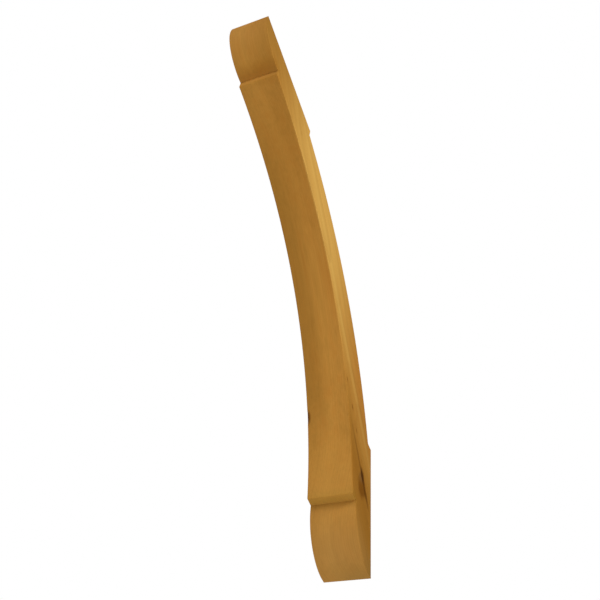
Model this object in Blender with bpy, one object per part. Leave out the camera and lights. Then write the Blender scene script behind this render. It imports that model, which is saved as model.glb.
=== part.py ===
"""Timber knee brace: an arched brace sawn from one plank, for the corner of a post and a beam.

The brace is alike about the diagonal of that corner, so the lower half of its outline is worked
out and then mirrored. Each point of the outline is given by how far it stands out from the
post, in x, and how far it lies below the beam, in y. The brace's own frame has X across the
plank, +Y into the post and +Z up to the beam, with its origin at the middle of the post seat.
"""

import math

import bmesh
import bpy
from mathutils import Matrix, Vector

INCH = 0.0254

# The plank, the legs that the brace reaches along post and beam, and the seats against them.
THICKNESS = 3.5 * INCH
LEG = 32.0 * INCH
SEAT = 11.0 * INCH

# The heel is the small square step behind each seat, where the back of the brace begins.
HEEL = 0.875 * INCH

# The nose is the rounded end of each leg: a flat, a quarter round and a short straight neck.
NOSE_FLAT = 0.375 * INCH
NOSE_RADIUS = 3.44 * INCH
NOSE_NECK = 0.25 * INCH

# The shoulder is the ledge from the neck out to the arch, and it falls a little on the way.
SHOULDER_DEPTH = 0.78 * INCH
SHOULDER_FALL = 0.06 * INCH

# The arch is the hollow face, and it rises this far above a line from shoulder to shoulder.
ARCH_RISE = 5.71 * INCH

# Every outer corner and every long edge is eased to this radius.
EASE = 0.05 * INCH

# How many flats stand for each round stretch.
ARCH_FLATS = 56
NOSE_FLATS = 18
EASE_FLATS = 2

# Edges that turn less than this are shaded smooth.
SMOOTH_ANGLE = math.radians(25)

WOOD_COLOUR = (0.50, 0.27, 0.075, 1.0)
WOOD_ROUGHNESS = 0.55


def clear_scene():
    """Removes every object, so that the brace stands alone."""
    for thing in list(bpy.data.objects):
        bpy.data.objects.remove(thing, do_unlink=True)


def mirrored(point):
    """The same point on the other half: out from the post and down from the beam change places."""
    return Vector((point.y, point.x))


def arc(centre, start, end, flats):
    """The points after start, up to and with end, of the shorter arc about centre."""
    spoke = start - centre
    turn = -spoke.angle_signed(end - centre)
    points = [centre + Matrix.Rotation(turn * i / flats, 2) @ spoke for i in range(1, flats)]
    return points + [end]


def lower_nose():
    """The lower end, from its toe on the post up and out to the outer corner of the shoulder."""
    toe = Vector((0.0, LEG))
    flat_end = Vector((NOSE_FLAT, LEG))
    centre = Vector((NOSE_FLAT, LEG - NOSE_RADIUS))
    crown = centre + Vector((NOSE_RADIUS, 0.0))
    ledge_start = crown - Vector((0.0, NOSE_NECK))
    ledge_end = ledge_start + Vector((SHOULDER_DEPTH, -SHOULDER_FALL))
    return [toe, flat_end, *arc(centre, flat_end, crown, NOSE_FLATS), ledge_start, ledge_end]


def arch_centre(shoulder):
    """The centre of the arch, on the diagonal, from the corner of the lower shoulder."""
    half_span = (shoulder - mirrored(shoulder)).length / 2
    radius = (half_span**2 + ARCH_RISE**2) / (2 * ARCH_RISE)
    middle = (shoulder + mirrored(shoulder)) / 2
    away = Vector((1.0, 1.0)).normalized()
    return middle + away * (radius - ARCH_RISE)


def outline():
    """The closed outline, and with it the outer corners, which are eased.

    It runs from the toe on the post by the arch to the beam seat, and home by the back, which
    is struck from the same centre as the arch.
    """
    nose = lower_nose()
    upper_nose = [mirrored(point) for point in reversed(nose)]
    centre = arch_centre(nose[-1])
    arch = arc(centre, nose[-1], upper_nose[0], ARCH_FLATS)

    beam_heel = Vector((LEG - SEAT, 0.0))
    beam_step = Vector((LEG - SEAT, HEEL))
    back = arc(centre, beam_step, mirrored(beam_step), ARCH_FLATS)
    post_heel = mirrored(beam_heel)

    points = [*nose, *arch, *upper_nose[1:], beam_heel, beam_step, *back, post_heel]
    corners = [nose[0], nose[-1], upper_nose[0], upper_nose[-1], beam_heel, post_heel]
    return points, corners


def place(point, x):
    """A point of the outline in the brace's own frame."""
    seat_middle = LEG - SEAT / 2
    return Vector((x, -point.x, seat_middle - point.y))


def outline_face(mesh, x):
    """The outline as one flat face, with its outer corners rounded."""
    points, corners = outline()
    verts = [mesh.verts.new(place(point, x)) for point in points]
    mesh.faces.new(verts)
    outer = [vert for vert, point in zip(verts, points) if point in corners]
    bmesh.ops.bevel(
        mesh, geom=outer, offset=EASE, segments=EASE_FLATS, profile=0.5, affect="VERTICES"
    )


def saw_through(mesh, depth):
    """Gives the outline face its depth across the plank."""
    sawn = bmesh.ops.extrude_face_region(mesh, geom=list(mesh.faces))
    moved = [item for item in sawn["geom"] if isinstance(item, bmesh.types.BMVert)]
    bmesh.ops.translate(mesh, verts=moved, vec=Vector((depth, 0.0, 0.0)))
    bmesh.ops.recalc_face_normals(mesh, faces=mesh.faces)


def ease_long_edges(mesh):
    """Steps both side faces in and out along a quarter round, which eases every long edge."""
    sides = sorted(mesh.faces, key=lambda face: face.calc_area())[-2:]
    inset_so_far = 0.0
    raised_so_far = 0.0
    for step in range(1, EASE_FLATS + 1):
        angle = math.pi / 2 * step / EASE_FLATS
        inset = EASE * (1 - math.cos(angle))
        raised = EASE * math.sin(angle)
        bmesh.ops.inset_region(
            mesh,
            faces=sides,
            thickness=inset - inset_so_far,
            depth=raised - raised_so_far,
            use_boundary=True,
            use_even_offset=True,
        )
        inset_so_far = inset
        raised_so_far = raised


def brace_mesh():
    """The brace as one closed mesh."""
    mesh = bmesh.new()
    half_before_easing = THICKNESS / 2 - EASE
    outline_face(mesh, -half_before_easing)
    saw_through(mesh, 2 * half_before_easing)
    ease_long_edges(mesh)
    data = bpy.data.meshes.new("knee_brace")
    mesh.to_mesh(data)
    mesh.free()
    data.shade_smooth()
    data.set_sharp_from_angle(angle=SMOOTH_ANGLE)
    return data


def timber():
    """Planed softwood with a clear satin finish."""
    material = bpy.data.materials.new("timber")
    material.use_nodes = True
    shader = material.node_tree.nodes["Principled BSDF"]
    shader.inputs["Base Color"].default_value = WOOD_COLOUR
    shader.inputs["Roughness"].default_value = WOOD_ROUGHNESS
    shader.inputs["Metallic"].default_value = 0.0
    return material


def make_knee_brace():
    """The whole brace, which is one piece of timber."""
    data = brace_mesh()
    data.materials.append(timber())
    brace = bpy.data.objects.new("knee_brace", data)
    bpy.context.scene.collection.objects.link(brace)


def main():
    clear_scene()
    make_knee_brace()


if __name__ == "__main__":
    main()
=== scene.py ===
"""The looks of a timber knee brace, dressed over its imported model.

The brace is one piece of planed softwood, so one class makes its mesh and one finish gives it
its wood. The mesh is a block of cells that Geometry Nodes stretch along the plank. At every
station along the grain, two rules say where the hollow face and the back lie.

The plank has its own coordinates, which the mesh, the knots and the wood all share: x across
its thickness, t along the grain down to the lower end, and w away from the corner of post and
beam. The point t = 0, w = 0 is that corner, where the post's face meets the beam's underside.
"""

from __future__ import annotations

import logging
import math
from dataclasses import dataclass
from enum import Enum
from typing import Mapping, Sequence, Union

import bpy
from mathutils import Euler, Matrix, Vector


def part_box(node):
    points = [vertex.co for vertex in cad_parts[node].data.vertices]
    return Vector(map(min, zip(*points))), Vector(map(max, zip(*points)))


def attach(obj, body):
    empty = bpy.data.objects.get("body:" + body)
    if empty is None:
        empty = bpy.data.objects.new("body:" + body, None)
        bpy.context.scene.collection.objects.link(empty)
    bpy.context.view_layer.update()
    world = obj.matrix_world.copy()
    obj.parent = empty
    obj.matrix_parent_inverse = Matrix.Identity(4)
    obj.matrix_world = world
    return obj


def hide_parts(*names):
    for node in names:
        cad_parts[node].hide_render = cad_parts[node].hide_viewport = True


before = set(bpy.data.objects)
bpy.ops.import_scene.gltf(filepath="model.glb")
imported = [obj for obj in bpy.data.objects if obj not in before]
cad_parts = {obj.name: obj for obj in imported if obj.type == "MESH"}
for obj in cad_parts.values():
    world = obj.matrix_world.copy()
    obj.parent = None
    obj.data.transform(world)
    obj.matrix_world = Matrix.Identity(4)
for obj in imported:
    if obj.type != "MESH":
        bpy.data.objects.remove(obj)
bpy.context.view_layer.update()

INCH = 0.0254
ROOT_TWO = math.sqrt(2)
NODE = "knee_brace"
BODY = "root"
SLOT = "timber"
END_GRAIN = "end_grain"

# Corners of the stretched block that come this close to each other are made one.
WELD_DISTANCE = 0.00001

# The pith, round which the growth rings are struck, lies well past the plank's left face.
PITH_X = -20.0 * INCH
PITH_W = 17.0 * INCH

# The right face of the plank, in inches, where the marks show that the view takes in.
RIGHT = 1.75

log = logging.getLogger("knee_brace")

Triple = tuple[float, float, float]
Number = Union["Term", float]


class Tone(Enum):
    """The tones of the wood, and of the light and shade painted on it, as linear red, green and
    blue.
    """

    SPRING = (0.520, 0.250, 0.046)
    SUMMER = (0.310, 0.125, 0.015)
    OLIVE = (0.335, 0.160, 0.025)
    AMBER = (0.470, 0.180, 0.026)
    STRAW = (0.620, 0.315, 0.060)
    LIT_GOLD = (0.680, 0.420, 0.105)
    UMBER = (0.310, 0.117, 0.006)
    CHESTNUT = (0.205, 0.068, 0.004)
    ASH = (0.240, 0.125, 0.045)
    KNOT = (0.205, 0.076, 0.006)
    KNOT_RIM = (0.110, 0.038, 0.003)
    PALE = (0.480, 0.264, 0.078)
    DUN = (0.380, 0.202, 0.046)
    LIT_SALLOW = (0.390, 0.242, 0.032)
    RESIN = (0.140, 0.049, 0.003)
    BARK = (0.088, 0.030, 0.004)

    @property
    def rgba(self) -> tuple[float, float, float, float]:
        """Gives the tone as a colour socket takes it."""
        return (*self.value, 1.0)


class Rise(Enum):
    """How a level climbs from 0 to 1."""

    STRAIGHT = "LINEAR"
    EASED = "SMOOTHSTEP"


@dataclass(frozen=True)
class Grain:
    """One kind of smooth noise in a material.

    Its scale is how many times a metre it changes along each axis, its detail is how many finer
    layers it has, and its shift keeps it apart from others like it.
    """

    scale: Triple
    detail: float = 2.0
    shift: Triple | None = None


@dataclass(frozen=True)
class Term:
    """A value in a node tree, to which Python's operators add Math nodes."""

    graph: Graph
    socket: bpy.types.NodeSocket

    def __add__(self, other: Number) -> Term:
        """Adds."""
        return self.graph.math("ADD", self, other)

    def __radd__(self, other: Number) -> Term:
        """Adds to a plain number."""
        return self.graph.math("ADD", other, self)

    def __sub__(self, other: Number) -> Term:
        """Subtracts."""
        return self.graph.math("SUBTRACT", self, other)

    def __rsub__(self, other: Number) -> Term:
        """Subtracts from a plain number."""
        return self.graph.math("SUBTRACT", other, self)

    def __mul__(self, other: Number) -> Term:
        """Multiplies."""
        return self.graph.math("MULTIPLY", self, other)

    def __rmul__(self, other: Number) -> Term:
        """Multiplies a plain number."""
        return self.graph.math("MULTIPLY", other, self)

    def __truediv__(self, other: Number) -> Term:
        """Divides."""
        return self.graph.math("DIVIDE", self, other)

    def __rtruediv__(self, other: Number) -> Term:
        """Divides a plain number."""
        return self.graph.math("DIVIDE", other, self)

    def __neg__(self) -> Term:
        """Turns the sign round."""
        return self.graph.math("MULTIPLY", self, -1.0)

    def __abs__(self) -> Term:
        """Drops the sign."""
        return self.graph.math("ABSOLUTE", self)

    def squared(self) -> Term:
        """Multiplies the value by itself."""
        return self.graph.math("MULTIPLY", self, self)

    def root(self) -> Term:
        """Takes the square root, with anything below zero read as zero."""
        return self.graph.math("SQRT", self.at_least(0.0))

    def at_least(self, other: Number) -> Term:
        """Takes the larger value."""
        return self.graph.math("MAXIMUM", self, other)

    def at_most(self, other: Number) -> Term:
        """Takes the smaller value."""
        return self.graph.math("MINIMUM", self, other)

    def above(self, other: Number) -> Term:
        """Gives 1 where the value is larger, and 0 elsewhere."""
        return self.graph.math("GREATER_THAN", self, other)

    def bell(self) -> Term:
        """Gives 1 at zero, and falls off smoothly on both sides."""
        return self.graph.math("EXPONENT", -self.squared())

    def ramp(self, start: float, span: float, rise: Rise = Rise.STRAIGHT) -> Term:
        """Rises from 0 at start to 1 at start + span, and stays level outside.

        Args:
            start: where the rise begins.
            span: how long it is.
            rise: how it climbs in between.

        Returns:
            The level, from 0 to 1.
        """
        settings = {"clamp": True, "interpolation_type": rise.value}
        values = {"Value": self, "From Min": start, "From Max": start + span}
        return self.graph.add("ShaderNodeMapRange", settings, values)


class Graph:
    """A node tree that is being built, for a material or for Geometry Nodes."""

    def __init__(self, tree: bpy.types.NodeTree) -> None:
        """Takes the tree that the nodes go into."""
        self.tree = tree

    def add(
        self,
        kind: str,
        settings: Mapping[str, object] | None = None,
        values: Mapping[str | int, object] | None = None,
        output: str | int = 0,
    ) -> Term:
        """Adds a node, sets it up and feeds it.

        Args:
            kind: the node's type.
            settings: its own settings, set before its sockets; stops are a colour ramp's.
            values: a number, colour, vector or Term for each socket, by name or index.
            output: the socket that the result is read from, by name or index.

        Returns:
            That output.
        """
        node = self.tree.nodes.new(kind)
        for name, setting in (settings or {}).items():
            if name == "stops":
                self._set_stops(node.color_ramp, setting)
            else:
                setattr(node, name, setting)
        for key, value in (values or {}).items():
            socket = self._find(node.inputs, key)
            if isinstance(value, Term):
                self.tree.links.new(value.socket, socket)
            else:
                socket.default_value = value
        return Term(self, self._find(node.outputs, output))

    def math(self, operation: str, *operands: Number) -> Term:
        """Adds a Math node.

        Args:
            operation: the node's operation.
            operands: Terms and plain numbers, in the order of its sockets.

        Returns:
            Its result.
        """
        return self.add("ShaderNodeMath", {"operation": operation}, dict(enumerate(operands)))

    def vector(self, operation: str, *operands: object) -> Term:
        """Adds a Vector Math node on two vectors, and gives its vector."""
        return self.add("ShaderNodeVectorMath", {"operation": operation}, dict(enumerate(operands)))

    def combine(self, x: Number, y: Number, z: Number) -> Term:
        """Makes a vector of three values."""
        return self.add("ShaderNodeCombineXYZ", None, {0: x, 1: y, 2: z})

    def separate(self, vector: Term) -> tuple[Term, Term, Term]:
        """Takes a vector apart.

        Args:
            vector: the vector.

        Returns:
            Its three values.
        """
        first = self.add("ShaderNodeSeparateXYZ", None, {0: vector})
        outputs = first.socket.node.outputs
        return first, Term(self, outputs[1]), Term(self, outputs[2])

    def blend(self, factor: Number, a: object, b: object) -> Term:
        """Mixes two colours.

        Args:
            factor: how far the mix goes from a to b.
            a: the first colour.
            b: the second colour.

        Returns:
            The mixed colour.
        """
        values = {"Factor_Float": factor, "A_Color": a, "B_Color": b}
        return self.add("ShaderNodeMix", {"data_type": "RGBA"}, values, "Result_Color")

    def noise(self, place: Term, grain: Grain) -> Term:
        """Adds smooth noise about zero.

        Args:
            place: the coordinates as a vector.
            grain: how the noise is stretched, layered and shifted.

        Returns:
            The noise, between about -0.5 and 0.5.
        """
        if grain.shift:
            place = self.vector("ADD", place, grain.shift)
        stretched = self.vector("MULTIPLY", place, grain.scale)
        values = {"Vector": stretched, "Scale": 1.0, "Detail": grain.detail, "Roughness": 0.5}
        return self.add("ShaderNodeTexNoise", {"noise_dimensions": "3D"}, values) - 0.5

    @staticmethod
    def _find(sockets: Sequence[bpy.types.NodeSocket], key: str | int) -> bpy.types.NodeSocket:
        """Finds a socket.

        Args:
            sockets: a node's inputs or outputs.
            key: the socket's index, identifier or name.

        Returns:
            The socket.
        """
        if isinstance(key, int):
            return sockets[key]
        for socket in sockets:
            if socket.identifier == key:
                return socket
        return sockets[key]

    @staticmethod
    def _set_stops(ramp: bpy.types.ColorRamp, stops: Sequence[tuple[float, Triple]]) -> None:
        """Gives a colour ramp its stops.

        Args:
            ramp: the ramp.
            stops: a position and a colour for each stop.
        """
        while len(ramp.elements) < len(stops):
            ramp.elements.new(1.0)
        for element, (position, colour) in zip(ramp.elements, stops):
            element.position = position
            element.color = (*colour, 1.0)


def inches(*lengths: float) -> tuple[float, ...]:
    """Turns lengths in inches into metres."""
    return tuple(length * INCH for length in lengths)


@dataclass(frozen=True)
class Place:
    """A point of the plank: x across it, t along the grain and w away from the corner."""

    x: Term
    t: Term
    w: Term


@dataclass(frozen=True)
class Knot:
    """The root of a branch: a cone that runs out from the pith to the face where it shows.

    The point x, t, w is where its axis leaves the plank, and lengths are in metres. Its length
    along the grain is its width times its stretch, and its lean is how far it climbs along the
    grain for each metre outwards. Its dish is how far it lies below the planed face. Near the
    pith it narrows no further than its root, a part of its width. The growth rings swell round
    it, over a patch whose length, width and height are multiples of its half width.
    """

    x: float
    t: float
    w: float
    half_width: float
    stretch: float
    darkness: float
    lean: float = 0.15
    dish: float = 0.0
    root: float = 0.05
    swell_length: float = 3.6
    swell_width: float = 1.5
    swell_height: float = 1.1

    def offset(self, place: Place) -> tuple[Term, Term, Term]:
        """Measures a point from the knot's axis.

        Args:
            place: the point.

        Returns:
            How far along the grain it lies, how far across the branch, and the branch's own
            half width there.
        """
        reach = math.hypot(self.x - PITH_X, self.w - PITH_W)
        run = (self.x - PITH_X) / reach
        rise = (self.w - PITH_W) / reach
        out = (place.x - PITH_X) * run + (place.w - PITH_W) * rise
        across = (place.w - PITH_W) * run - (place.x - PITH_X) * rise
        along = place.t - self.t - (out - reach) * self.lean
        width = (out / reach).at_least(self.root) * self.half_width
        return along, across, width

    def distance(self, place: Place) -> Term:
        """Measures how far a point is from the axis, as a multiple of the knot's half width."""
        along, across, width = self.offset(place)
        return ((along / self.stretch).squared() + across.squared()).root() / width

    def swell(self, place: Place) -> Term:
        """Gives how far the growth rings bulge out round the knot.

        Args:
            place: the point.

        Returns:
            The distance.
        """
        along, across, width = self.offset(place)
        long_part = (along / self.swell_length).squared()
        wide_part = (across / self.swell_width).squared()
        spread = (long_part + wide_part).root() / width
        return spread.bell() * width * self.swell_height


@dataclass(frozen=True)
class Streak:
    """A long lens of another tone, laid along the grain.

    Its middle is at x, t, w, and its half sizes, in metres, reach to where its level has fallen
    by half. Its softness is 1 where it fades all the way from its middle outwards, and near 0
    where its rim is crisp. Its dish is how far it lies below the planed face.
    """

    x: float
    t: float
    w: float
    half_x: float
    half_t: float
    half_w: float
    tone: Tone
    strength: float
    softness: float = 1.0
    dish: float = 0.0

    def level(self, place: Place, jitter: Number = 0.0) -> Term:
        """Gives how far the wood takes the tone at a point.

        Args:
            place: the point.
            jitter: how far the rim strays there, as a multiple of the lens's size.

        Returns:
            The level, from 0 to the strength.
        """
        off_x = (place.x - self.x) / self.half_x
        off_t = (place.t - self.t) / self.half_t
        off_w = (place.w - self.w) / self.half_w
        away = (off_x.squared() + off_t.squared() + off_w.squared()).root() + jitter
        inside = 1.0 - away.ramp(1.0 - self.softness, 2.0 * self.softness, Rise.EASED)
        return inside * self.strength


# The knots, each with its place, half width, stretch and darkness.
BIG_KNOT = Knot(
    *inches(RIGHT, 16.75, 20.20, 0.95), stretch=0.82, darkness=0.45, lean=-0.2, dish=0.0004
)
PIN_KNOTS = (
    Knot(*inches(RIGHT, 8.75, 18.56, 0.07), stretch=2.4, darkness=0.8),
    Knot(*inches(RIGHT, 10.96, 18.56, 0.10), stretch=2.2, darkness=0.8),
    Knot(*inches(RIGHT, 12.84, 18.70, 0.09), stretch=2.2, darkness=0.7),
    Knot(*inches(RIGHT, 15.20, 18.90, 0.06), stretch=2.2, darkness=0.4),
    Knot(*inches(RIGHT, 19.30, 20.60, 0.07), stretch=2.6, darkness=0.3),
    Knot(*inches(RIGHT, -13.2, 18.50, 0.08), stretch=3.0, darkness=0.3),
)
KNOTS = (BIG_KNOT, *PIN_KNOTS)

# Broad tones, each laid over those before it; some are painted light and painted shade.
STREAKS = (
    # The left of the hollow face, and the right of its upper half.
    Streak(*inches(-1.7, -0.8, 18.6, 1.3, 13.0, 1.6), Tone.OLIVE, 0.65),
    Streak(*inches(0.8, -10.5, 20.8, 1.1, 10.0, 3.2), Tone.SUMMER, 0.35),
    # The right face, between the two shoulders; its gold lenses are partly paler wood and partly
    # painted light.
    Streak(*inches(RIGHT, 10.5, 14.8, 0.1, 7.5, 1.6), Tone.AMBER, 0.5),
    Streak(*inches(RIGHT, 1.6, 16.75, 0.10, 17.0, 0.42), Tone.LIT_GOLD, 0.3, softness=0.5),
    Streak(*inches(RIGHT, 1.0, 16.10, 0.10, 14.0, 0.24), Tone.OLIVE, 0.3, softness=0.5),
    Streak(*inches(RIGHT, -7.5, 16.6, 0.10, 11.5, 5.2), Tone.LIT_GOLD, 0.54, softness=0.6),
    Streak(*inches(RIGHT, 14.2, 18.2, 0.1, 3.6, 0.9), Tone.STRAW, 0.3, softness=0.6),
    # Painted light on the lower end of the hollow face, and a paler tone on the lower nose.
    Streak(*inches(0.2, 14.8, 22.8, 2.2, 6.0, 1.7), Tone.STRAW, 0.55),
    Streak(*inches(0.0, 20.5, 23.6, 3.0, 2.1, 1.2), Tone.PALE, 0.5),
    # The upper nose, with painted shade where it meets the neck.
    Streak(*inches(-0.4, -20.7, 23.5, 2.4, 1.9, 1.2), Tone.DUN, 0.5),
    Streak(*inches(0.8, -17.6, 23.0, 2.6, 0.8, 0.6), Tone.UMBER, 0.55),
    # Painted light on the ledge of the upper shoulder, and on that of the lower one, lit from below.
    Streak(*inches(0.0, -17.05, 22.95, 3.0, 0.30, 0.30), Tone.STRAW, 0.8),
    Streak(*inches(0.0, 17.0, 23.0, 3.0, 0.45, 0.35), Tone.LIT_SALLOW, 0.5),
    # The right face at its lower and upper ends, and the tip of the lower nose.
    Streak(*inches(RIGHT, 15.8, 21.2, 0.06, 7.0, 2.4), Tone.UMBER, 0.64),
    Streak(*inches(RIGHT, -22.0, 21.0, 1.0, 6.0, 4.0), Tone.OLIVE, 0.6),
    Streak(*inches(0.9, 22.6, 22.9, 1.5, 1.3, 1.1), Tone.DUN, 0.9),
)

# Small marks over the knots: the chestnut body of the big knot, the resin seam that runs by it,
# an ashen patch and a bark pocket, and the bark pocket on the left edge of the hollow face.
SEAMS = (
    Streak(*inches(RIGHT, 16.98, 20.45, 0.5, 0.66, 0.95), Tone.CHESTNUT, 0.6, softness=0.4),
    Streak(*inches(RIGHT, 15.2, 19.70, 0.5, 2.7, 0.19), Tone.RESIN, 0.45, softness=0.6),
    Streak(*inches(RIGHT, 17.3, 19.68, 0.4, 1.1, 0.30), Tone.RESIN, 0.75, softness=0.5),
    Streak(*inches(RIGHT, 16.24, 20.16, 0.4, 0.32, 0.28), Tone.ASH, 0.5, softness=0.7),
    Streak(
        *inches(RIGHT, 16.20, 19.48, 0.3, 0.60, 0.36), Tone.BARK, 0.95, softness=0.4, dish=0.0008
    ),
    Streak(
        *inches(-1.78, 11.15, 19.9, 0.27, 0.48, 0.6), Tone.RESIN, 1.0, softness=0.5, dish=0.0005
    ),
)


@dataclass(frozen=True)
class KnotFigure:
    """How a knot shows, where a distance from its axis is a multiple of its half width.

    Its own rings follow one another at the ring pace. The rim falls off on both sides of the
    knot's edge and the halo from its axis outwards, the faster the larger their fall. A depth
    is how strongly a mark colours the wood.
    """

    jitter: float = 0.35
    edge: float = 0.85
    fade: float = 0.3
    body_depth: float = 0.84
    ring_pace: float = 19.0
    ring_depth: float = 0.16
    rim_fall: float = 4.5
    rim_depth: float = 0.3
    halo_fall: float = 0.45
    halo_depth: float = 0.4


@dataclass(frozen=True)
class PlanedSoftwood:
    """Straight-grained softwood, planed and given a clear satin finish.

    Lengths are in metres. The growth rings are struck round the pith, which lies outside the
    plank, past its left face. A depth is how strongly a mark colours the wood, a relief is how
    high it stands, a gloss is how far it changes the roughness, and a jitter is how far it
    lets a rim stray. The ring profile is how dark a ring is at points across it, from its
    spring wood outwards.
    """

    roughness: float = 0.68
    refraction: float = 1.46
    specular: float = 0.02

    ring_width: float = 0.0042
    ring_profile: tuple[tuple[float, float], ...] = (
        (0.0, 0.0), (0.45, 0.10), (0.86, 0.85), (0.94, 1.0), (1.0, 0.0)
    )
    ring_depth: float = 0.24
    ring_relief: float = 0.00003
    ring_gloss: float = 0.06
    faintest_ring: float = 0.4
    uneven_pace: float = 0.31
    uneven_turns: float = 1.4
    ripple: Grain = Grain((26.0, 5.0, 26.0))
    ripple_width: float = 0.0022

    sway: Grain = Grain((1.5, 2.2, 1.5), 1.0)
    drift: Grain = Grain((1.5, 2.2, 1.5), 1.0, (3.1, 7.7, 5.3))
    sway_width: float = 0.022

    fibre: Grain = Grain((900.0, 9.0, 900.0), 3.0)
    fibre_depth: float = 0.09
    fibre_relief: float = 0.00002
    fibre_gloss: float = 0.12
    strand: Grain = Grain((240.0, 3.0, 240.0))
    strand_depth: float = 0.18
    squarely_cut: float = 0.5
    cut_fade: float = 0.25
    cut_depth: float = 0.15

    patch: Grain = Grain((22.0, 1.8, 22.0))
    patch_depth: float = 1.3
    patch_jitter: float = 0.5
    blush: Grain = Grain((30.0, 3.5, 30.0), shift=(9.2, 1.3, 4.1))
    blush_depth: float = 1.5
    mottle: Grain = Grain((85.0, 6.0, 85.0), shift=(5.7, 2.9, 8.8))
    mottle_depth: float = 1.4
    heart_radius: float = 20.4 * INCH
    heart_fade: float = 1.8 * INCH
    heart_depth: float = 0.42
    band_radius: float = 20.5 * INCH
    band_half_width: float = 0.4 * INCH
    band_depth: float = 0.2

    rough: Grain = Grain((90.0, 60.0, 90.0), 3.0)
    seam_jitter: float = 0.7
    knot_figure: KnotFigure = KnotFigure()

    def material(self, name: str, brace: KneeBrace) -> bpy.types.Material:
        """Builds the wood.

        Args:
            name: the material's name.
            brace: the piece that it goes on, for where the plank lies in its frame.

        Returns:
            The material.
        """
        material = bpy.data.materials.new(name)
        material.use_nodes = True
        graph = Graph(material.node_tree)
        shader = material.node_tree.nodes["Principled BSDF"]
        shader.inputs["IOR"].default_value = self.refraction
        shader.inputs["Specular IOR Level"].default_value = self.specular

        vector, place = self._coordinates(graph, brace)
        bent = self._bend(graph, vector, place)
        radius = ((bent.x - PITH_X).squared() + (bent.w - PITH_W).squared()).root()
        ring = self._rings(graph, vector, radius, place)
        fibre = graph.noise(vector, self.fibre)
        colour = self._tone(graph, vector, Place(place.x, place.t, bent.w), radius)
        colour = graph.blend(ring * self.ring_depth, colour, Tone.SUMMER.rgba)
        colour = self._fibres(graph, vector, colour, fibre)
        colour = self._knots(graph, vector, place, colour)
        height = ring * self.ring_relief + fibre * self.fibre_relief
        normal = graph.add(
            "ShaderNodeBump", None, {"Strength": 1.0, "Distance": 1.0, "Height": height}
        )
        roughness = self.roughness - ring * self.ring_gloss + fibre * self.fibre_gloss
        for socket, term in (("Base Color", colour), ("Roughness", roughness), ("Normal", normal)):
            graph.tree.links.new(term.socket, shader.inputs[socket])
        return material

    def _coordinates(self, graph: Graph, brace: KneeBrace) -> tuple[Term, Place]:
        """Turns object coordinates into the plank's own.

        Args:
            graph: the material's tree.
            brace: the piece, for how far its seats lie from the corner of post and beam.

        Returns:
            The coordinates as a vector, whose third value is -w, and as a place.
        """
        middle = brace.seat_middle / ROOT_TWO
        settings = {"vector_type": "POINT"}
        values = {
            "Vector": graph.add("ShaderNodeTexCoord", None, None, "Object"),
            "Location": (0.0, middle, -middle),
            "Rotation": Euler((math.pi / 4, 0.0, 0.0)),
        }
        vector = graph.add("ShaderNodeMapping", settings, values)
        x, t, minus_w = graph.separate(vector)
        return vector, Place(x, t, -minus_w)

    def _bend(self, graph: Graph, vector: Term, place: Place) -> Place:
        """Lets the grain wander a little from side to side, as the tree did.

        Args:
            graph: the material's tree.
            vector: the plank's coordinates as a vector.
            place: the same as a place.

        Returns:
            The place, shifted as the grain wanders.
        """
        sway = graph.noise(vector, self.sway) * self.sway_width
        drift = graph.noise(vector, self.drift) * self.sway_width
        return Place(place.x + sway, place.t, place.w + drift)

    def _rings(self, graph: Graph, vector: Term, radius: Term, place: Place) -> Term:
        """Draws the growth rings, some fainter than others and of uneven width.

        Args:
            graph: the material's tree.
            vector: the plank's coordinates as a vector.
            radius: the distance from the pith.
            place: the plank's coordinates as a place.

        Returns:
            The level, from 0 in the pale spring wood to 1 in the dark summer wood.
        """
        radius = radius + graph.noise(vector, self.ripple) * self.ripple_width
        for knot in KNOTS:
            radius = radius - knot.swell(place)
        turns = radius / self.ring_width
        uneven = graph.add(
            "ShaderNodeTexNoise", {"noise_dimensions": "1D"},
            {"W": turns * self.uneven_pace, "Scale": 1.0, "Detail": 1.0},
        )
        turns = turns + uneven * self.uneven_turns
        strength = graph.add(
            "ShaderNodeTexWhiteNoise", {"noise_dimensions": "1D"},
            {"W": graph.math("FLOOR", turns)},
        )
        stops = [(position, (level,) * 3) for position, level in self.ring_profile]
        ramp = graph.add("ShaderNodeValToRGB", {"stops": stops}, {"Fac": graph.math("FRACT", turns)})
        return graph.separate(ramp)[0] * (strength * (1.0 - self.faintest_ring) + self.faintest_ring)

    def _tone(self, graph: Graph, vector: Term, place: Place, radius: Term) -> Term:
        """Mixes the slow changes of tone: the washes, the heartwood, the pale band and the streaks,
        with their painted light and shade.

        Args:
            graph: the material's tree.
            vector: the plank's coordinates as a vector.
            place: the place, with its w shifted as the grain wanders.
            radius: the distance from the pith.

        Returns:
            The colour.
        """
        patch = graph.noise(vector, self.patch)
        mottle = graph.noise(vector, self.mottle)
        blush = graph.noise(vector, self.blush)
        washes = (
            (patch * self.patch_depth, Tone.OLIVE),
            (blush * self.blush_depth, Tone.AMBER),
            (mottle * self.mottle_depth, Tone.AMBER),
            (mottle * -self.mottle_depth, Tone.OLIVE),
        )
        colour: object = Tone.SPRING.rgba
        for level, tone in washes:
            colour = graph.blend(level.at_least(0.0), colour, tone.rgba)
        heart = 1.0 - radius.ramp(self.heart_radius - self.heart_fade, self.heart_fade)
        colour = graph.blend(heart * self.heart_depth, colour, Tone.OLIVE.rgba)
        band = ((radius - self.band_radius) / self.band_half_width).bell()
        colour = graph.blend(band * self.band_depth, colour, Tone.STRAW.rgba)
        for streak in STREAKS:
            level = streak.level(place, patch * self.patch_jitter)
            colour = graph.blend(level, colour, streak.tone.rgba)
        return colour

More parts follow.
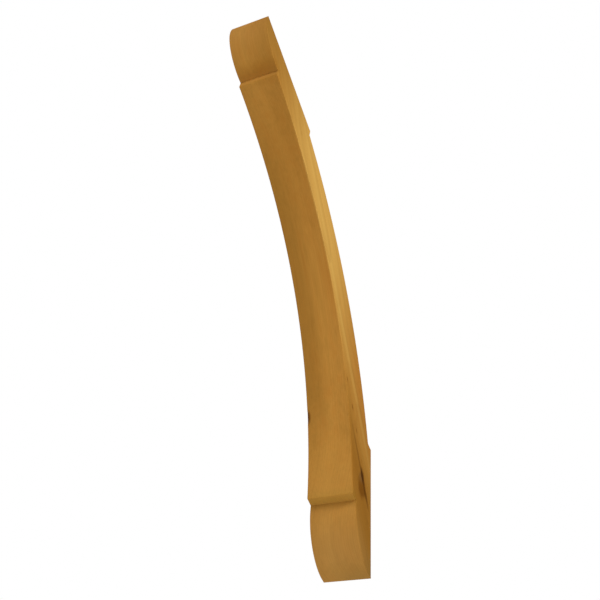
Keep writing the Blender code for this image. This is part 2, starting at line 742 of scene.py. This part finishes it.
    def _fibres(self, graph: Graph, vector: Term, colour: Term, fibre: Term) -> Term:
        """Shades the wood along its fibres and strands, and pales it where it is cut across.

        Args:
            graph: the material's tree.
            vector: the plank's coordinates as a vector.
            colour: the colour so far.
            fibre: the noise of the fibres.

        Returns:
            The colour.
        """
        strand = graph.noise(vector, self.strand)
        shade = 1.0 + fibre * self.fibre_depth + strand * self.strand_depth
        shaded = graph.add(
            "ShaderNodeVectorMath", {"operation": "SCALE"}, {0: colour, "Scale": shade}
        )
        cut = graph.add("ShaderNodeAttribute", {"attribute_name": END_GRAIN}, None, "Fac")
        pale = cut.ramp(self.squarely_cut, self.cut_fade) * self.cut_depth
        return graph.blend(pale, shaded, Tone.PALE.rgba)

    def _knots(self, graph: Graph, vector: Term, place: Place, colour: Term) -> Term:
        """Lays on the knots, each with its own rings, a rim and a halo, and then the seams.

        Args:
            graph: the material's tree.
            vector: the plank's coordinates as a vector.
            place: the same as a place.
            colour: the colour so far.

        Returns:
            The colour.
        """
        rough = graph.noise(vector, self.rough)
        figure = self.knot_figure
        for knot in KNOTS:
            distance = knot.distance(place) + rough * figure.jitter
            halo = (distance * figure.halo_fall).bell() * (knot.darkness * figure.halo_depth)
            body = (1.0 - distance.ramp(figure.edge, figure.fade, Rise.EASED)) * knot.darkness
            turn = graph.math("SINE", distance * figure.ring_pace) * figure.ring_depth
            rim = ((distance - 1.0) * figure.rim_fall).bell() * (knot.darkness * figure.rim_depth)
            colour = graph.blend(halo, colour, Tone.SUMMER.rgba)
            colour = graph.blend(body * (figure.body_depth + turn), colour, Tone.KNOT.rgba)
            colour = graph.blend(rim, colour, Tone.KNOT_RIM.rgba)
        for seam in SEAMS:
            level = seam.level(place, rough * self.seam_jitter)
            colour = graph.blend(level, colour, seam.tone.rgba)
        return colour


@dataclass(frozen=True)
class Zone:
    """A run of stations along the grain: how far it goes, in how many cells.

    A round zone turns through its angles about a centre, so its cells are even on the curve.
    """

    span: Term
    cells: int
    turn: tuple[float, float] | None = None


@dataclass
class Outline:
    """The rules for the outline of the brace, for one half, from its middle to its end.

    Round a corner, short cells reach out to either side, and the rules blend into each other.
    Both lengths are multiples of the easing of the edges. A lean is how much longer than a
    square cut a cut along w is, and the nudge is the step over which it is measured.
    """

    graph: Graph
    size: Mapping[str, Term]
    arch_cells: int = 84
    heel_cells: int = 5
    corner_cells: int = 6
    flank_cells: int = 26
    ledge_cells: int = 6
    neck_cells: int = 3
    nose_cells: int = 44
    flat_cells: int = 3
    toe_cells: int = 4
    corner_reach: float = 1.5
    corner_blend: float = 2.4
    most_lean: float = 1.5
    nudge: float = 0.0001

    def __post_init__(self) -> None:
        """Works out the corners and the centres of the outline."""
        size = self.size
        leg, seat, heel, ease = size["leg"], size["seat"], size["heel"], size["ease"]
        reach = size["nose_flat"] + size["nose_radius"]
        ledge = leg - size["nose_radius"] - size["nose_neck"]
        tip_out = reach + size["shoulder_depth"]
        tip_down = ledge - size["shoulder_fall"]

        self.toe = leg / ROOT_TWO
        self.step = (leg - seat - heel) / ROOT_TWO
        self.heel_corner = (leg - seat) / ROOT_TWO
        self.shoulder = (tip_down - tip_out) / ROOT_TWO
        self.neck_start = (ledge - reach) / ROOT_TWO
        self.crown = (leg - size["nose_radius"] - reach) / ROOT_TWO
        self.flat_start = (leg - size["nose_flat"]) / ROOT_TWO
        self.toe_round = (leg - ease) / ROOT_TWO

        self.shoulder_w = (tip_down + tip_out) / ROOT_TWO
        self.neck_w = (ledge + reach) / ROOT_TWO
        self.neck_line = reach * ROOT_TWO
        self.nose_t = (leg - reach) / ROOT_TWO
        self.nose_w = (leg - size["nose_radius"] + size["nose_flat"]) / ROOT_TWO
        rise = size["arch_rise"]
        self.arch_radius = (self.shoulder.squared() + rise.squared()) / (rise * 2.0)
        self.arch_w = self.shoulder_w - rise + self.arch_radius
        step_w = (leg - seat + heel) / ROOT_TWO
        self.back_radius = (self.step.squared() + (self.arch_w - step_w).squared()).root()

    def zones(self) -> list[Zone]:
        """Divides a half into runs of stations, with one at every corner.

        Returns:
            The runs, from the middle to the toe.
        """
        reach = self.size["ease"] * self.corner_reach
        stops = (
            (self.step, self.arch_cells),
            (self.heel_corner - reach, self.heel_cells),
            (self.heel_corner + reach, self.corner_cells),
            (self.shoulder - reach, self.flank_cells),
            (self.shoulder + reach, self.corner_cells),
            (self.neck_start, self.ledge_cells),
            (self.crown, self.neck_cells),
        )
        zones = []
        reached: Number = 0.0
        for stop, cells in stops:
            zones.append(Zone(stop - reached, cells))
            reached = stop
        eighth = math.pi / 4
        zones.append(Zone(self.size["nose_radius"], self.nose_cells, (-eighth, eighth)))
        zones.append(Zone(self.toe_round - self.flat_start, self.flat_cells))
        zones.append(Zone(self.size["ease"], self.toe_cells, (eighth, 2 * eighth)))
        return zones

    def station(self, count: Term, zones: Sequence[Zone]) -> Term:
        """Finds how far along the grain a station is from the middle.

        Args:
            count: the station, as a count of cells.
            zones: the runs that it counts through.

        Returns:
            The distance.
        """
        distance: Number = 0.0
        start = 0
        for zone in zones:
            level = count.ramp(start, zone.cells)
            if zone.turn:
                first, last = zone.turn
                level = self.graph.math("SINE", level * (last - first) + first) - math.sin(first)
            distance = distance + level * zone.span
            start += zone.cells
        return distance

    def rails(self, t: Term) -> tuple[Term, Term]:
        """Gives the w of the hollow face and of the back at a distance from the middle.

        Args:
            t: the distance along the grain.

        Returns:
            The two values of w.
        """
        size = self.size
        radius = size["nose_radius"]
        blend = size["ease"] * self.corner_blend
        arch = self.arch_w - (self.arch_radius.squared() - t.squared()).root()
        fall = (self.neck_w - self.shoulder_w) / (self.neck_start - self.shoulder)
        ledge = self.shoulder_w + (t - self.shoulder) * fall
        neck = t + self.neck_line
        nose = self.nose_w + (radius.squared() - (t - self.nose_t).squared()).root()
        flat = self.toe * 2.0 - t
        end = neck + t.above(self.crown) * (nose - neck)
        end = end + t.above(self.flat_start) * (flat - nose)
        front = self.graph.math("SMOOTH_MIN", arch, ledge.at_least(end), blend)

        hollow = self.arch_w - (self.back_radius.squared() - t.squared()).root()
        heel = self.heel_corner * 2.0 - t
        back = self.graph.math("SMOOTH_MAX", t, heel.at_most(hollow), blend)

        past = t.above(self.toe_round)
        from_centre = t - self.toe + size["ease"] * ROOT_TWO
        round_toe = (size["ease"].squared() - from_centre.squared()).root()
        front = front + past * (self.toe + round_toe - front)
        back = back + past * (self.toe - round_toe - back)
        return front, back

    def leans(self, t: Term) -> tuple[Term, Term]:
        """Gives the lean of the hollow face and of the back at a distance from the middle.

        Args:
            t: the distance along the grain.

        Returns:
            The two leans, as multiples.
        """
        ahead = self.rails(t + self.nudge)
        behind = self.rails(t - self.nudge)
        slopes = ((a - b) / (2 * self.nudge) for a, b in zip(ahead, behind))
        front, back = ((slope.squared() + 1.0).root().at_most(self.most_lean) for slope in slopes)
        return front, back


@dataclass
class KneeBrace:
    """The brace: its outline by rule, and the block of cells that is stretched to it.

    Lengths are in metres, and they are those of the solid that this piece stands for. The
    thickness and the leg are read from that solid. Beside each eased edge runs one narrow row
    of cells, and its width, the margin, is a multiple of the easing. The groove round the big
    knot falls off from its rim, and the bowl inside it is a part of its dish deep.
    """

    thickness: float
    leg: float
    seat: float = 11.0 * INCH
    heel: float = 0.875 * INCH
    nose_flat: float = 0.375 * INCH
    nose_radius: float = 3.44 * INCH
    nose_neck: float = 0.25 * INCH
    shoulder_depth: float = 0.78 * INCH
    shoulder_fall: float = 0.06 * INCH
    arch_rise: float = 5.71 * INCH
    ease: float = 0.05 * INCH
    ease_cells: int = 3
    side_cells: int = 84
    edge_cells: int = 28
    margin: float = 0.4
    groove_fall: float = 3.5
    bowl_depth: float = 0.5
    smooth_angle: float = math.radians(32)

    @property
    def seat_middle(self) -> float:
        """How far the middle of either seat is from the corner of post and beam."""
        return self.leg - self.seat / 2

    def build(self, finish: PlanedSoftwood) -> bpy.types.Object:
        """Makes the finished piece.

        Args:
            finish: the wood.

        Returns:
            The piece, as a plain mesh at the origin.
        """
        material = finish.material(SLOT, self)
        tree = self._tree(material)
        carrier = bpy.data.objects.new("brace_block", bpy.data.meshes.new("brace_block"))
        bpy.context.scene.collection.objects.link(carrier)
        modifier = carrier.modifiers.new("brace", "NODES")
        modifier.node_group = tree
        for item in tree.interface.items_tree:
            value = getattr(self, item.name, None) if item.in_out == "INPUT" else None
            if value is not None:
                modifier[item.identifier] = value
        bpy.context.view_layer.update()
        evaluated = carrier.evaluated_get(bpy.context.evaluated_depsgraph_get())
        mesh = bpy.data.meshes.new_from_object(evaluated)
        bpy.data.objects.remove(carrier)
        mesh.name = "planed_brace"
        mesh.set_sharp_from_angle(angle=self.smooth_angle)
        piece = bpy.data.objects.new("planed_brace", mesh)
        bpy.context.scene.collection.objects.link(piece)
        return piece

    def _tree(self, material: bpy.types.Material) -> bpy.types.NodeTree:
        """Builds the Geometry Nodes tree, whose inputs have the names of the sizes.

        Args:
            material: the wood.

        Returns:
            The tree.
        """
        tree = bpy.data.node_groups.new("brace_by_rule", "GeometryNodeTree")
        tree.is_modifier = True
        tree.interface.new_socket("Geometry", in_out="INPUT", socket_type="NodeSocketGeometry")
        tree.interface.new_socket("Geometry", in_out="OUTPUT", socket_type="NodeSocketGeometry")
        lengths = (
            "thickness", "leg", "seat", "heel", "nose_flat", "nose_radius", "nose_neck",
            "shoulder_depth", "shoulder_fall", "arch_rise", "ease",
        )
        for name in lengths:
            tree.interface.new_socket(name, in_out="INPUT", socket_type="NodeSocketFloat")
        graph = Graph(tree)
        entry = tree.nodes.new("NodeGroupInput")
        size = {name: Term(graph, entry.outputs[name]) for name in lengths}
        outline = Outline(graph, size)
        zones = outline.zones()
        half_cells = sum(zone.cells for zone in zones)

        block = graph.add(
            "GeometryNodeMeshCube",
            None,
            {
                "Size": (2.0 * half_cells, float(self.side_cells), float(self.edge_cells)),
                "Vertices X": 2 * half_cells + 1,
                "Vertices Y": self.side_cells + 1,
                "Vertices Z": self.edge_cells + 1,
            },
        )
        i, j, k = graph.separate(graph.add("GeometryNodeInputPosition"))
        place = self._stretch(outline, zones, i, j + self.side_cells / 2, k + self.edge_cells / 2)
        geometry = graph.add(
            "GeometryNodeSetPosition", None,
            {"Geometry": block, "Position": self._to_frame(graph, size, place)},
        )
        geometry = graph.add(
            "GeometryNodeMergeByDistance", None, {"Geometry": geometry, "Distance": WELD_DISTANCE}
        )
        geometry = self._mark_end_grain(graph, geometry)
        geometry = self._sink_marks(graph, size, geometry)
        geometry = graph.add("GeometryNodeSetShadeSmooth", None, {"Geometry": geometry})
        geometry = graph.add("GeometryNodeRealizeInstances", None, {"Geometry": geometry})
        geometry = graph.add(
            "GeometryNodeSetMaterial", None, {"Geometry": geometry, "Material": material}
        )
        leave = tree.nodes.new("NodeGroupOutput")
        tree.links.new(geometry.socket, leave.inputs["Geometry"])
        return tree

    def _stretch(
        self, outline: Outline, zones: Sequence[Zone], i: Term, j: Term, k: Term
    ) -> Place:
        """Carries a corner of the block's cells to its place in the plank.

        Args:
            outline: the rules for the hollow face and the back.
            zones: the runs of stations from the middle of the brace to its end.
            i: the count of cells along the grain, from the middle.
            j: the count from the hollow face to the back.
            k: the count from the left face to the right one.

        Returns:
            The place.
        """
        graph = outline.graph
        ease = outline.size["ease"]
        distance = outline.station(abs(i), zones)
        front, back = outline.rails(distance)
        front_lean, back_lean = outline.leans(distance)
        j_in = j.at_most(self.side_cells - j)
        k_in = k.at_most(self.edge_cells - k)
        j_turn = j_in.ramp(0.0, self.ease_cells)
        k_turn = k_in.ramp(0.0, self.ease_cells)
        angle = (1.0 + k_turn - j_turn) * (math.pi / 4)
        margin = ease * self.margin
        drop = (1.0 - graph.math("SINE", angle)) * ease
        j_margin = j_in.ramp(self.ease_cells, 1) * margin
        k_margin = k_in.ramp(self.ease_cells, 1) * margin
        room = (front - back) / 2
        front = front - ((drop + j_margin) * front_lean).at_most(room)
        back = back + ((drop + j_margin) * back_lean).at_most(room)
        across = j.ramp(self.ease_cells + 1, self.side_cells - 2 * self.ease_cells - 2)
        w = front + (back - front) * across
        half = outline.size["thickness"] / 2 - (1.0 - graph.math("COSINE", angle)) * ease
        through = k.ramp(self.ease_cells + 1, self.edge_cells - 2 * self.ease_cells - 2)
        x = (half - k_margin) * (through * 2.0 - 1.0)
        return Place(x, graph.math("SIGN", i) * distance, w)

    @staticmethod
    def _to_frame(graph: Graph, size: Mapping[str, Term], place: Place) -> Term:
        """Turns a place in the plank into a position in the brace's frame.

        Args:
            graph: the tree.
            size: the tree's inputs by name.
            place: the place.

        Returns:
            The position as a vector.
        """
        middle = size["leg"] - size["seat"] / 2
        out = (place.w - place.t) / ROOT_TWO
        down = (place.w + place.t) / ROOT_TWO
        return graph.combine(place.x, -out, middle - down)

    @staticmethod
    def _mark_end_grain(graph: Graph, geometry: Term) -> Term:
        """Stores on each face how squarely it cuts the grain.

        Args:
            graph: the tree.
            geometry: the brace.

        Returns:
            The brace, with the attribute.
        """
        along = (0.0, 1.0 / ROOT_TWO, -1.0 / ROOT_TWO)
        normal = graph.add("GeometryNodeInputNormal")
        cut = graph.add(
            "ShaderNodeVectorMath", {"operation": "DOT_PRODUCT"}, {0: normal, 1: along}, "Value"
        )
        return graph.add(
            "GeometryNodeStoreNamedAttribute",
            {"data_type": "FLOAT", "domain": "FACE"},
            {"Geometry": geometry, "Name": END_GRAIN, "Value": abs(cut)},
        )

    def _sink_marks(self, graph: Graph, size: Mapping[str, Term], geometry: Term) -> Term:
        """Sinks the big knot, with a groove round it, and the bark pockets a little.

        Args:
            graph: the tree.
            size: the tree's inputs by name.
            geometry: the brace.

        Returns:
            The brace, with its dishes.
        """
        middle = size["leg"] - size["seat"] / 2
        x, y, z = graph.separate(graph.add("GeometryNodeInputPosition"))
        place = Place(x, (middle - z + y) / ROOT_TWO, (middle - z - y) / ROOT_TWO)
        distance = BIG_KNOT.distance(place)
        groove = ((distance - 1.0) * self.groove_fall).bell()
        depth = (groove + distance.bell() * self.bowl_depth) * BIG_KNOT.dish
        for seam in SEAMS:
            depth = depth + seam.level(place) * seam.dish
        inwards = graph.add(
            "ShaderNodeVectorMath", {"operation": "SCALE"},
            {0: graph.add("GeometryNodeInputNormal"), "Scale": -depth},
        )
        return graph.add(
            "GeometryNodeSetPosition", None, {"Geometry": geometry, "Offset": inwards}
        )


@dataclass(frozen=True)
class Viewpoint:
    """The photographer's camera: below the brace, out in front of it and to its right."""

    azimuth: float = 27.690
    look_up: float = 54.448
    roll: float = 9.623
    position: tuple[float, float, float] = (0.33692, -1.02481, -0.69742)
    focal_pixels: float = 594.94
    frame_pixels: float = 600.0
    shift_y: float = -0.0528

    def place(self) -> None:
        """Adds the camera and makes it the scene's."""
        azimuth, look_up, roll = (
            math.radians(angle) for angle in (self.azimuth, self.look_up, self.roll)
        )
        level = math.cos(look_up)
        ahead = Vector(
            (-math.sin(azimuth) * level, math.cos(azimuth) * level, math.sin(look_up))
        )
        right = Vector((math.cos(azimuth), math.sin(azimuth), 0.0))
        up = right.cross(ahead)
        rolled_right = right * math.cos(roll) + up * math.sin(roll)
        rolled_up = up * math.cos(roll) - right * math.sin(roll)
        data = bpy.data.cameras.new("camera")
        data.sensor_width = 36.0
        data.lens = self.focal_pixels / self.frame_pixels * data.sensor_width
        data.shift_y = self.shift_y
        data.clip_start = 0.01
        camera = bpy.data.objects.new("camera", data)
        turn = Matrix((rolled_right, rolled_up, -ahead)).transposed().to_4x4()
        camera.matrix_world = Matrix.Translation(self.position) @ turn
        bpy.context.scene.collection.objects.link(camera)
        bpy.context.scene.camera = camera


@dataclass(frozen=True)
class Softbox:
    """A square soft light that faces a point."""

    name: str
    position: tuple[float, float, float]
    target: tuple[float, float, float]
    size: float
    power: float
    colour: Triple = (1.0, 1.0, 1.0)

    def place(self) -> None:
        """Adds the light."""
        data = bpy.data.lights.new(self.name, "AREA")
        data.shape = "SQUARE"
        data.size = self.size
        data.energy = self.power
        data.color = self.colour
        light = bpy.data.objects.new(self.name, data)
        away = Vector(self.position) - Vector(self.target)
        light.matrix_world = (
            Matrix.Translation(self.position) @ away.to_track_quat("Z", "Y").to_matrix().to_4x4()
        )
        bpy.context.scene.collection.objects.link(light)


@dataclass(frozen=True)
class Overhead:
    """A broad light from far above, past the brace, which whitens the floor."""

    name: str = "overhead"
    towards: tuple[float, float, float] = (-0.9, 0.9, 1.2)
    spread: float = math.radians(40)
    strength: float = 2.0

    def place(self) -> None:
        """Adds the light."""
        data = bpy.data.lights.new(self.name, "SUN")
        data.angle = self.spread
        data.energy = self.strength
        light = bpy.data.objects.new(self.name, data)
        light.matrix_world = Vector(self.towards).to_track_quat("Z", "Y").to_matrix().to_4x4()
        bpy.context.scene.collection.objects.link(light)


@dataclass
class Studio:
    """A pale floor well below the brace, a white surround and soft lights.

    The surround is white to look at, and as a light it is dimmer and a little warm. The floor
    is a grey that drifts a little, as painted board does.
    """

    floor_drop: float = 1.9
    floor_size: float = 30.0
    floor_roughness: float = 0.9
    floor_grey: float = 0.9
    floor_cloud: Grain = Grain((3.0, 3.0, 3.0), 4.0)
    floor_drift: float = 0.02
    surround_light: Triple = (0.20, 0.182, 0.155)
    lights: tuple[Softbox | Overhead, ...] = (
        Softbox("key", (1.0, -0.48, 0.5), (0.0, -0.45, 0.45), 0.5, 6.8, (1.0, 1.02, 1.0)),
        Softbox("front", (-0.15, -2.4, 1.0), (0.0, -0.3, 0.1), 1.6, 21.0, (1.0, 0.96, 1.0)),
        Softbox("low", (0.0, -0.8, -1.6), (0.0, -0.4, 0.3), 1.4, 4.4),
        Overhead(),
    )

    def build(self) -> None:
        """Adds the floor, the surround and the lights."""
        self._floor()
        self._surround()
        for light in self.lights:
            light.place()
        bpy.context.scene.view_settings.view_transform = "Standard"

    def _floor(self) -> None:
        """Adds the floor."""
        half = self.floor_size / 2
        corners = [(-half, -half), (half, -half), (half, half), (-half, half)]
        mesh = bpy.data.meshes.new("floor")
        mesh.from_pydata([(x, y, -self.floor_drop) for x, y in corners], [], [(0, 1, 2, 3)])
        material = bpy.data.materials.new("floor")
        material.use_nodes = True
        graph = Graph(material.node_tree)
        shader = material.node_tree.nodes["Principled BSDF"]
        shader.inputs["Roughness"].default_value = self.floor_roughness
        place = graph.add("ShaderNodeTexCoord", None, None, "Object")
        cloud = graph.noise(place, self.floor_cloud)
        grey = cloud * self.floor_drift + self.floor_grey
        colour = graph.combine(grey, grey, grey)
        graph.tree.links.new(colour.socket, shader.inputs["Base Color"])
        mesh.materials.append(material)
        floor = bpy.data.objects.new("floor", mesh)
        bpy.context.scene.collection.objects.link(floor)

    def _surround(self) -> None:
        """Adds the surround."""
        world = bpy.data.worlds.new("surround")
        world.use_nodes = True
        graph = Graph(world.node_tree)
        seen = graph.add("ShaderNodeLightPath", None, None, "Is Camera Ray")
        colour = graph.blend(seen, (*self.surround_light, 1.0), (1.0, 1.0, 1.0, 1.0))
        background = world.node_tree.nodes["Background"]
        graph.tree.links.new(colour.socket, background.inputs["Color"])
        bpy.context.scene.world = world


def main() -> None:
    """Builds the camera, the studio and the brace."""
    logging.basicConfig(level=logging.INFO)
    Viewpoint().place()
    Studio().build()
    low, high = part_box(NODE)
    brace = KneeBrace(thickness=high[0] - low[0], leg=high[2] - low[2])
    piece = brace.build(PlanedSoftwood())
    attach(piece, BODY)
    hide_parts(NODE)
    log.info("%s: %d faces", piece.name, len(piece.data.polygons))


if __name__ == "__main__":
    main()
